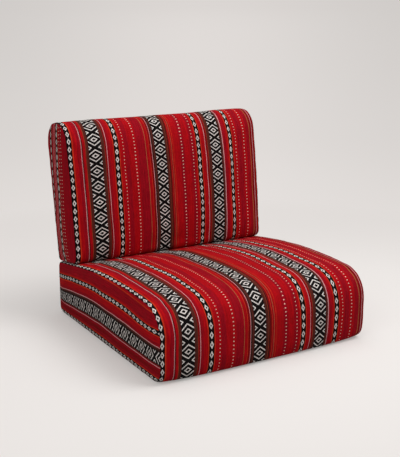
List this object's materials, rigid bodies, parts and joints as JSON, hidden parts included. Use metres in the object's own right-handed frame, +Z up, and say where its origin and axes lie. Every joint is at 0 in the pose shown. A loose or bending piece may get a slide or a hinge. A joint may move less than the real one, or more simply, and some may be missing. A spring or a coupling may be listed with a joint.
{
  "type": "majlis floor sofa",
  "caption": "Low floor sofa of a square seat cushion and a leaning back cushion, in zipped covers of striped and diamond-patterned woven cloth.",
  "frame": {"origin": "middle of the seat cushion's base, on the floor", "axes": "+Z up, the sofa faces -Y, +X to the sitter's left"},
  "size_m": [0.716, 0.7666, 0.6296],
  "materials": {
    "woven_cloth": "warp-faced woven wool blend, red with dark and pale stripes",
    "base_cloth": "plain dark woven base cloth",
    "wadding": "white polyester wadding",
    "foam": "cut polyurethane foam",
    "zip_tape": "woven polyester tape",
    "zip_coil": "nylon coil",
    "zip_metal": "painted zinc die casting"
  },
  "bodies": {
    "seat_cushion": {"seat_foam_core": "foam", "seat_fibre_wadding": "wadding", "seat_wrap_panel": "woven_cloth", "seat_left_side_panel": "woven_cloth", "seat_right_side_panel": "woven_cloth", "seat_base_cloth": "base_cloth", "seat_rear_strip": "woven_cloth", "seat_zip_upper_tape": "zip_tape", "seat_zip_lower_tape": "zip_tape", "seat_zip_upper_coil": "zip_coil", "seat_zip_lower_coil": "zip_coil", "seat_zip_end_stops": "zip_metal"},
    "seat_slider": {"seat_zip_slider": "zip_metal"},
    "seat_pull": {"seat_zip_pull": "zip_metal"},
    "back_cushion": {"back_foam_core": "foam", "back_fibre_wadding": "wadding", "back_wrap_panel": "woven_cloth", "back_left_side_panel": "woven_cloth", "back_right_side_panel": "woven_cloth", "back_base_cloth": "base_cloth", "back_rear_strip": "woven_cloth", "back_zip_upper_tape": "zip_tape", "back_zip_lower_tape": "zip_tape", "back_zip_upper_coil": "zip_coil", "back_zip_lower_coil": "zip_coil", "back_zip_end_stops": "zip_metal"},
    "back_slider": {"back_zip_slider": "zip_metal"},
    "back_pull": {"back_zip_pull": "zip_metal"}
  },
  "joints": [
    {"name": "back_lift", "type": "slide", "parent": "seat_cushion", "child": "back_cushion", "axis": [0, 0.1478, 0.989], "range_m": [0, 0.25]},
    {"name": "seat_zip_run", "type": "slide", "parent": "seat_cushion", "child": "seat_slider", "axis": [-1, 0, 0], "range_m": [0, 0.552], "deforming": ["seat_zip_upper_tape", "seat_zip_lower_tape", "seat_zip_upper_coil", "seat_zip_lower_coil"]},
    {"name": "seat_pull_swing", "type": "hinge", "parent": "seat_slider", "child": "seat_pull", "pos_m": [0.2764, 0.35505, 0.046], "axis": [0, 0, -1], "range_deg": [0, 165]},
    {"name": "back_zip_run", "type": "slide", "parent": "back_cushion", "child": "back_slider", "axis": [-1, 0, 0], "range_m": [0, 0.548], "deforming": ["back_zip_upper_tape", "back_zip_lower_tape", "back_zip_upper_coil", "back_zip_lower_coil"]},
    {"name": "back_pull_swing", "type": "hinge", "parent": "back_slider", "child": "back_pull", "pos_m": [0.2744, 0.36184, 0.21704], "axis": [0, -0.1478, -0.989], "range_deg": [0, 165]}
  ]
}
